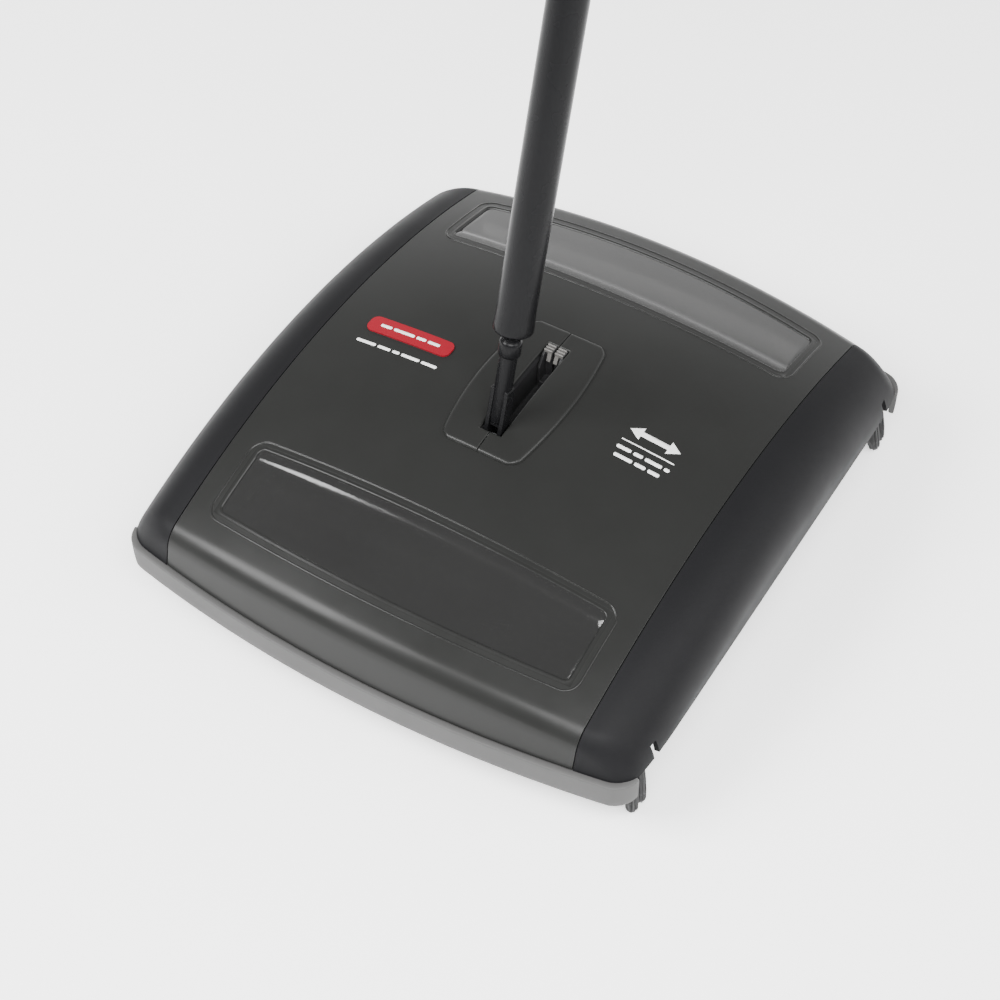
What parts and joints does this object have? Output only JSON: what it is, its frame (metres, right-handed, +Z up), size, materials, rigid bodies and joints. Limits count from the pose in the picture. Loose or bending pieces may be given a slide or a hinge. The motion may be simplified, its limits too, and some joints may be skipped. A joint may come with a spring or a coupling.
{
  "type": "carpet sweeper",
  "caption": "Hand-pushed brushless carpet sweeper: low double-curved charcoal body, clear dust windows, grey bumpers, dust pans, wheel-driven rotor and a long pivoting handle.",
  "frame": {"origin": "on the floor, below the middle of the sweeper's body", "axes": "+Z up, +X to the sweeper's right, -Y is its front, and the handle leans back towards +Y"},
  "size_m": [0.2412, 0.4052, 1.0785],
  "materials": {
    "cover_plastic": "semi-gloss charcoal moulding",
    "cap_plastic": "satin black moulding",
    "bumper_vinyl": "soft grey vinyl",
    "rim_plastic": "glossy black bead",
    "window_clear": "clear, slightly smoked",
    "panel_plastic": "semi-gloss charcoal moulding",
    "catch_plastic": "light grey ribbed moulding",
    "frame_plastic": "black moulding",
    "steel": "bright drawn bar",
    "plate_steel": "zinc plated sheet",
    "bush_nylon": "natural nylon",
    "badge_red": "red printed plate",
    "bristle": "stiff black bristle",
    "handle_plastic": "glossy black moulding",
    "tube_paint": "gloss black enamel on steel tube",
    "joiner_plastic": "black moulding",
    "grip_rubber": "soft foam rubber",
    "core_plastic": "dark grey moulding",
    "blade_rubber": "flexible black rubber",
    "roller_rubber": "grippy black rubber",
    "hub_plastic": "dark grey moulding",
    "tyre_rubber": "soft black tread",
    "pan_plastic": "dark grey moulding",
    "lip_rubber": "flexible black lip"
  },
  "bodies": {
    "housing": {"top_cover": "cover_plastic", "left_side_cap": "cap_plastic", "right_side_cap": "cap_plastic", "front_bumper": "bumper_vinyl", "rear_bumper": "bumper_vinyl", "front_window_rim": "rim_plastic", "rear_window_rim": "rim_plastic", "front_window": "window_clear", "rear_window": "window_clear", "left_pivot_panel": "panel_plastic", "right_pivot_panel": "panel_plastic", "handle_catch": "catch_plastic", "pivot_well": "frame_plastic", "handle_pivot_pin": "steel", "left_side_plate": "plate_steel", "right_side_plate": "plate_steel", "rotor_bushes": "bush_nylon", "wheel_axles": "steel", "axle_clips": "steel", "front_hinge_rod": "steel", "rear_hinge_rod": "steel", "pan_springs": "steel", "cover_screws": "steel", "badge": "badge_red", "brush_holders": "frame_plastic", "front_left_tufts": "bristle", "front_right_tufts": "bristle", "rear_left_tufts": "bristle", "rear_right_tufts": "bristle"},
    "handle": {"handle_yoke": "handle_plastic", "handle_collar": "handle_plastic", "handle_sleeve": "handle_plastic", "lower_tube": "tube_paint", "lower_joiner": "joiner_plastic", "middle_tube": "tube_paint", "upper_joiner": "joiner_plastic", "upper_tube": "tube_paint", "hand_grip": "grip_rubber", "hang_cap": "handle_plastic"},
    "rotor": {"rotor_shaft": "steel", "rotor_core": "core_plastic", "rotor_blades": "blade_rubber", "left_drive_roller": "roller_rubber", "right_drive_roller": "roller_rubber"},
    "wheel_front_left": {"front_left_hub": "hub_plastic", "front_left_tyre": "tyre_rubber"},
    "wheel_front_right": {"front_right_hub": "hub_plastic", "front_right_tyre": "tyre_rubber"},
    "wheel_rear_left": {"rear_left_hub": "hub_plastic", "rear_left_tyre": "tyre_rubber"},
    "wheel_rear_right": {"rear_right_hub": "hub_plastic", "rear_right_tyre": "tyre_rubber"},
    "pan_front": {"front_pan": "pan_plastic", "front_pan_lip": "lip_rubber"},
    "pan_rear": {"rear_pan": "pan_plastic", "rear_pan_lip": "lip_rubber"}
  },
  "joints": [
    {"name": "handle_tilt", "type": "hinge", "parent": "housing", "child": "handle", "pos_m": [0, -0.0242, 0.068], "axis": [-1, 0, 0], "range_deg": [-10, 54]},
    {"name": "rotor_spin", "type": "hinge", "parent": "housing", "child": "rotor", "pos_m": [0, 0, 0.027], "axis": [1, 0, 0], "continuous": true},
    {"name": "front_left_wheel_spin", "type": "hinge", "parent": "housing", "child": "wheel_front_left", "pos_m": [-0.1025, -0.0312, 0.02], "axis": [1, 0, 0], "continuous": true},
    {"name": "front_right_wheel_spin", "type": "hinge", "parent": "housing", "child": "wheel_front_right", "pos_m": [0.1025, -0.0312, 0.02], "axis": [1, 0, 0], "continuous": true},
    {"name": "rear_left_wheel_spin", "type": "hinge", "parent": "housing", "child": "wheel_rear_left", "pos_m": [-0.1025, 0.0312, 0.02], "axis": [1, 0, 0], "continuous": true},
    {"name": "rear_right_wheel_spin", "type": "hinge", "parent": "housing", "child": "wheel_rear_right", "pos_m": [0.1025, 0.0312, 0.02], "axis": [1, 0, 0], "continuous": true},
    {"name": "front_pan_swing", "type": "hinge", "parent": "housing", "child": "pan_front", "pos_m": [0, -0.1105, 0.0185], "axis": [-1, 0, 0], "range_deg": [0, 60], "stiffness_Nm_per_rad": 0.06, "springref_deg": -68.75},
    {"name": "rear_pan_swing", "type": "hinge", "parent": "housing", "child": "pan_rear", "pos_m": [0, 0.1105, 0.0185], "axis": [1, 0, 0], "range_deg": [0, 60], "stiffness_Nm_per_rad": 0.06, "springref_deg": -68.75}
  ],
  "couplings": [
    {"joint": "front_left_wheel_spin", "follows": "rotor_spin", "ratio": -0.58},
    {"joint": "front_right_wheel_spin", "follows": "rotor_spin", "ratio": -0.58},
    {"joint": "rear_left_wheel_spin", "follows": "rotor_spin", "ratio": -0.58},
    {"joint": "rear_right_wheel_spin", "follows": "rotor_spin", "ratio": -0.58}
  ]
}
